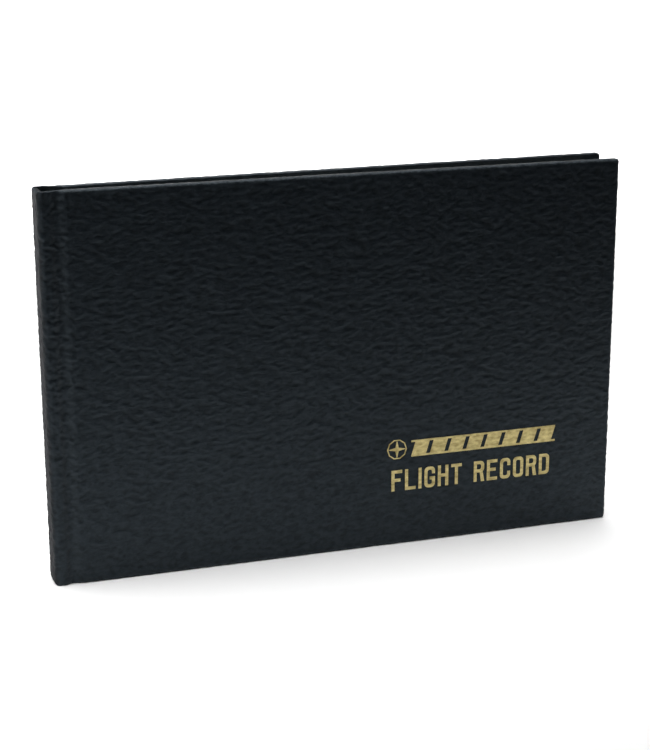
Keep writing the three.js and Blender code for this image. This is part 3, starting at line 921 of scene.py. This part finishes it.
# ---------------------------------------------------------------- pieces that keep their CAD shape
FOIL_DARK, FOIL_LIGHT, FOIL_WORN = (0.34, 0.27, 0.108), (0.66, 0.56, 0.26), (0.03, 0.028, 0.02)


def foil_material():
    """Hot-stamped gold foil: it takes the grain beneath it and has worn through on a few pads."""
    material, shader, n = new_material("gold_foil")
    place = n.object_mm()
    grain = n.noise(n.mapping(place, (0.5, 1.0, 1.0)), 0.85)
    speck = n.noise(place, 3.4, 4.0, 0.65)
    colour = n.mix(n.map_range(grain, 0.3, 0.7, 0.0, 1.0), FOIL_DARK, FOIL_LIGHT)
    worn = n.math("GREATER_THAN", n.math("ADD", speck, n.multiply(grain, 0.3)), 0.845)
    n.put(shader["Base Color"], n.mix(worn, colour, FOIL_WORN))
    n.put(shader["Metallic"], 0.85)
    n.put(shader["Roughness"], n.map_range(speck, 0.3, 0.7, 0.34, 0.5))
    n.put(shader["Normal"], n.bump(n.math("ADD", grain, n.multiply(speck, 0.25)), 1.0, 0.1))
    return material


def woven_material(name, dark, light, pitch, depth):
    """Open plain weave across the spine's back, its pitch in mm."""
    material, shader, n = new_material(name)
    place = n.object_mm()
    _, y, z = n.separate(place)
    weave = n.math("MAXIMUM", n.math("PINGPONG", y, pitch), n.math("PINGPONG", z, pitch))
    height = n.math("DIVIDE", weave, pitch)
    fuzz = n.noise(place, 4.0, 3.0)
    n.put(shader["Base Color"], n.mix(n.multiply(height, n.math("ADD", fuzz, 0.4)), dark, light))
    n.put(shader["Roughness"], n.map_range(fuzz, 0.3, 0.7, 0.85, 0.95))
    n.put(shader["Normal"], n.bump(height, 0.8, depth))
    return material


def dress(prefix, material):
    """A material for the CAD nodes whose names start so."""
    for node, obj in frame["nodes"].items():
        if node.startswith(prefix):
            obj.data.materials.clear()
            obj.data.materials.append(material)


# ---------------------------------------------------------------- stage, in metres
CAMERA_PLACE = (-0.1924, -0.5430, 0.2259)
CAMERA_FORWARD, CAMERA_UP = (0.31484, 0.90902, -0.27306), (0.09295, 0.25678, 0.96199)
CAMERA_LENS, CAMERA_SENSOR = 82.97, 36.0
FLOOR_HALF, WALL_Y, WALL_HEIGHT = 6.0, 4.5, 4.0
SWEEP, SWEEP_STEPS = 1.2, 16
FLOOR_COLOURS = ((0.86, 0.86, 0.86), (0.88, 0.88, 0.88))
AMBIENT = 0.04
# Name, place, the point it faces, width and length, watts and spread in degrees. Each light keeps
# to its own part of the floor: the covers mirror the floor before them, bright only near the book.
LIGHTS = (
    ("key", (-0.01, -0.01, 0.5), (-0.01, -0.02, 0.0), (0.8, 0.4), 1.22, 60),
    ("rear_wall", (0.0, 1.2, 2.2), (0.0, 2.2, 1.2), (4.0, 1.2), 60, 90),
    ("rear_floor", (0.0, 1.45, 1.2), (0.0, 1.46, 0.0), (4.4, 1.8), 100, 85),
    ("far_left", (-2.2, 0.0, 1.4), (-2.21, 0.0, 0.0), (1.6, 3.0), 50, 90),
    ("far_front", (0.8, -2.6, 1.4), (0.8, -2.61, 0.0), (5.0, 1.8), 22, 90),
)


def camera():
    data = bpy.data.cameras.new("camera")
    obj = bpy.data.objects.new("camera", data)
    bpy.context.scene.collection.objects.link(obj)
    forward = Vector(CAMERA_FORWARD).normalized()
    right = forward.cross(Vector(CAMERA_UP)).normalized()
    up = right.cross(forward).normalized()
    rotation = Matrix((right, up, -forward)).transposed().to_4x4()
    obj.matrix_world = Matrix.Translation(Vector(CAMERA_PLACE)) @ rotation
    data.lens = CAMERA_LENS
    data.sensor_width = CAMERA_SENSOR
    data.clip_start = 0.01
    bpy.context.scene.camera = obj


def floor_material():
    material, shader, n = new_material("floor")
    place = n.add("ShaderNodeTexCoord").outputs["Object"]
    n.put(shader["Base Color"], n.mix(n.noise(place, 60.0, 3.0), *FLOOR_COLOURS))
    n.put(shader["Roughness"], 0.8)
    n.put(shader["Specular IOR Level"], 0.1)
    return material


def stage():
    """A pale sweep: a floor that curves up into a wall behind the book."""
    foot = WALL_Y - SWEEP
    line = [(-FLOOR_HALF, 0.0), (0.0, 0.0), (foot, 0.0)]
    for i in range(1, SWEEP_STEPS + 1):
        a = math.pi / 2 * i / SWEEP_STEPS
        line.append((foot + SWEEP * math.sin(a), SWEEP - SWEEP * math.cos(a)))
    line.append((WALL_Y, WALL_HEIGHT))
    points = [(x, y, z) for y, z in line for x in (-FLOOR_HALF, FLOOR_HALF)]
    faces = [(2 * i, 2 * i + 1, 2 * i + 3, 2 * i + 2) for i in range(len(line) - 1)]
    mesh = bpy.data.meshes.new("floor")
    mesh.from_pydata(points, [], faces)
    mesh.polygons.foreach_set("use_smooth", [True] * len(faces))
    mesh.materials.append(floor_material())
    floor = bpy.data.objects.new("floor", mesh)
    bpy.context.scene.collection.objects.link(floor)


def world():
    studio = bpy.data.worlds.new("studio")
    studio.use_nodes = True
    background = studio.node_tree.nodes["Background"]
    background.inputs["Color"].default_value = (1, 1, 1, 1)
    background.inputs["Strength"].default_value = AMBIENT
    bpy.context.scene.world = studio


def area_light(name, location, target, size, power, spread):
    data = bpy.data.lights.new(name, "AREA")
    data.shape = "RECTANGLE"
    data.size, data.size_y = size
    data.energy = power
    data.spread = math.radians(spread)
    obj = bpy.data.objects.new(name, data)
    obj.location = location
    obj.rotation_euler = (Vector(target) - Vector(location)).to_track_quat("-Z", "Y").to_euler()
    bpy.context.scene.collection.objects.link(obj)


# ---------------------------------------------------------------- the book on its stage
leather = leather_material()
endpaper = paper_material("endpaper", ENDPAPER_COLOURS, with_rules=False)
ledger = paper_material("ledger_paper", LEDGER_COLOURS, with_rules=True)
thread = band_material()
greyboard = fibrous_material("greyboard", (0.17, 0.155, 0.135), (0.31, 0.29, 0.26), 1.6, 0.9, 0.05)
card = fibrous_material(
    "spine_card", (0.34, 0.26, 0.15), (0.47, 0.38, 0.24), 1.2, 0.85, 0.04, stretch=(1, 1, 0.3))
linen = fibrous_material("linen_thread", (0.62, 0.58, 0.47), (0.82, 0.79, 0.68), 6.0, 0.8, 0.04)
crash = woven_material("crash_cloth", (0.50, 0.46, 0.37), (0.78, 0.74, 0.64), 0.45, 0.1)

for side in (FRONT, BACK):
    leather_piece(side, leather)
for side in (FRONT, BACK):
    pastedown(side, endpaper)
    flyleaf(side, endpaper)
for index in SECTIONS:
    section(index, ledger)
band("head_band", thread)
band("tail_band", thread)
board(FRONT, greyboard)
board(BACK, greyboard)
spine_card(card)
dress("spine_liner", card)
dress("mull", crash)
dress("sewing_thread", linen)
dress("foil_", foil_material())

camera()
stage()
world()
for light in LIGHTS:
    area_light(*light)
bpy.context.scene.view_settings.view_transform = "Standard"
